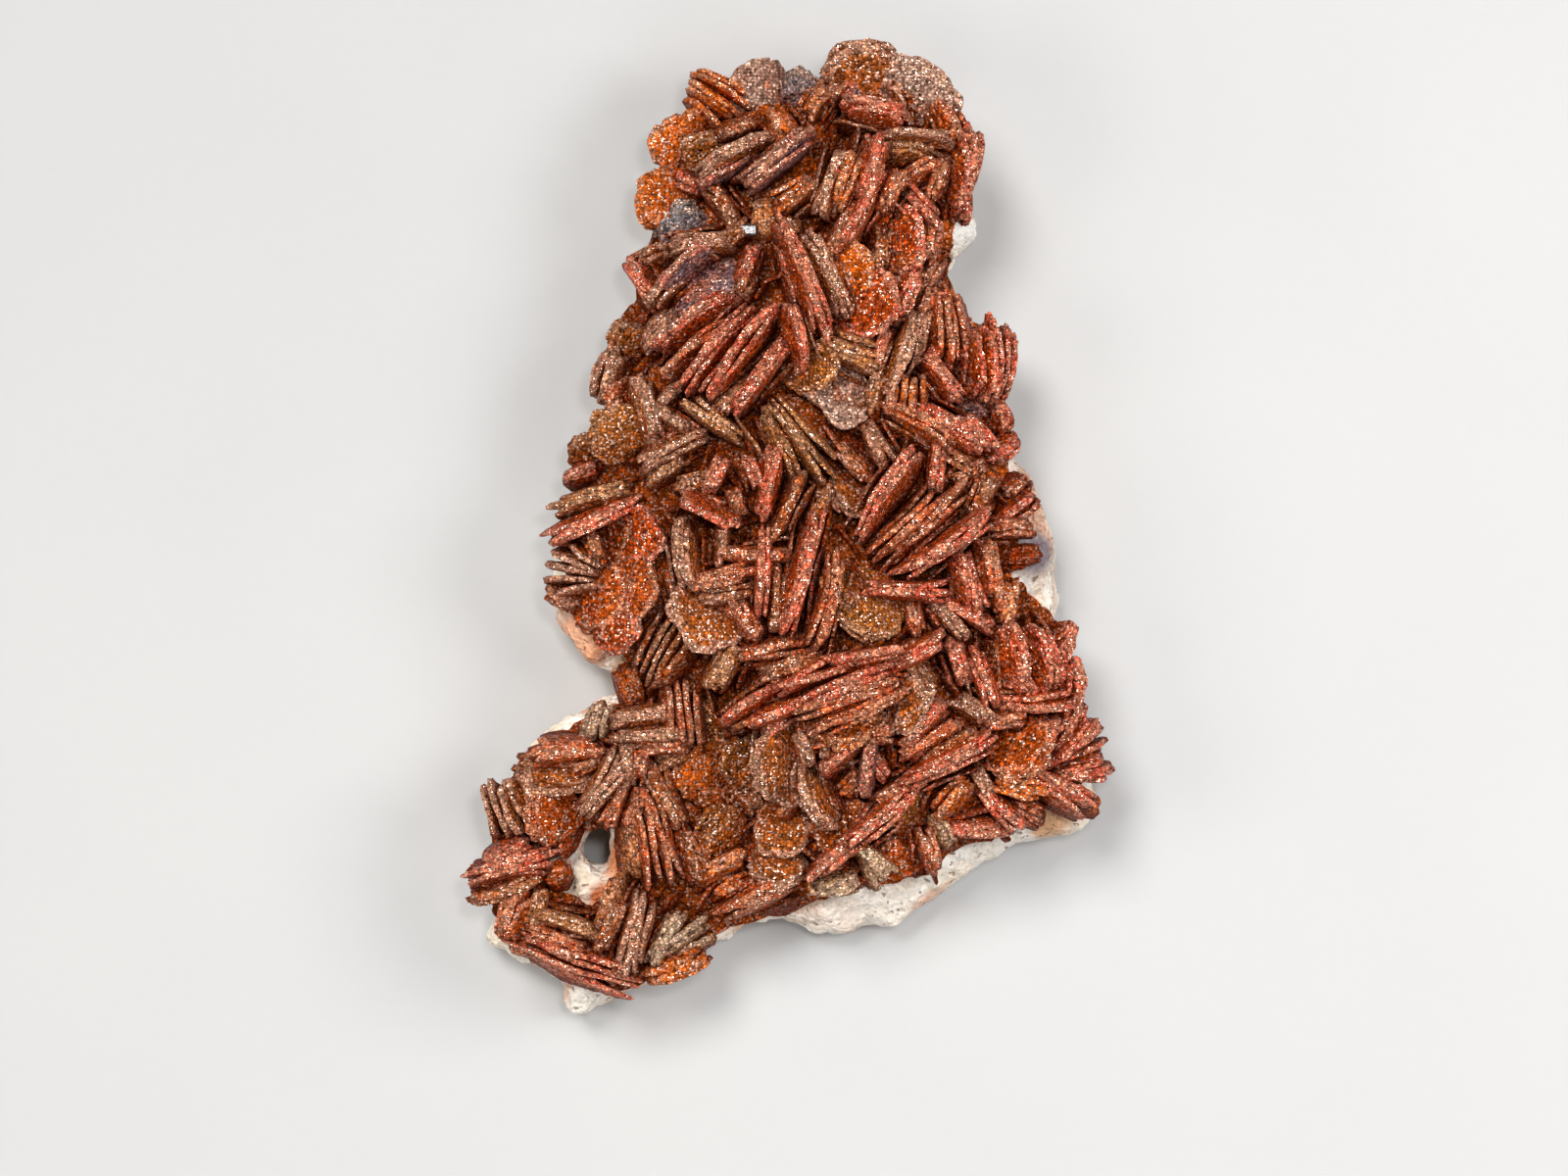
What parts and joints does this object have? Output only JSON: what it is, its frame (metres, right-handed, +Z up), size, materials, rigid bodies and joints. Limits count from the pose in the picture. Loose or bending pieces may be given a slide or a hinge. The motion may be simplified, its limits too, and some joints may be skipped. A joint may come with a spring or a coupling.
{
  "type": "vanadinite on matrix",
  "caption": "Mineral hand specimen: sparkling red-brown vanadinite on sheaves of barite blades, on a pale flat-backed matrix that lies on a shelf.",
  "frame": {"origin": "middle of the bounding box in X and Y, at the height of the flat back that it lies on", "axes": "+Z up out of the blades, +Y along the specimen's length towards its narrow crown, +X towards its right side as seen from above"},
  "size_m": [0.0786, 0.12, 0.0294],
  "materials": {
    "rock": "rough cream barite with peach and orange stains",
    "blades": "barite blades under a sparkling coat of red-brown crystals",
    "metal": "bright metallic lustre"
  },
  "bodies": {
    "root": {"matrix": "rock", "crown_left": "blades", "crown_right": "blades", "neck_left": "blades", "neck_right": "blades", "shoulder_left": "blades", "shoulder_right": "blades", "heart": "blades", "waist": "blades", "flank_left": "blades", "flank_right": "blades", "belly": "blades", "hollow": "blades", "skirt_middle": "blades", "skirt_right": "blades", "knee": "blades", "foot": "blades", "metallic_grain": "metal"}
  },
  "joints": []
}
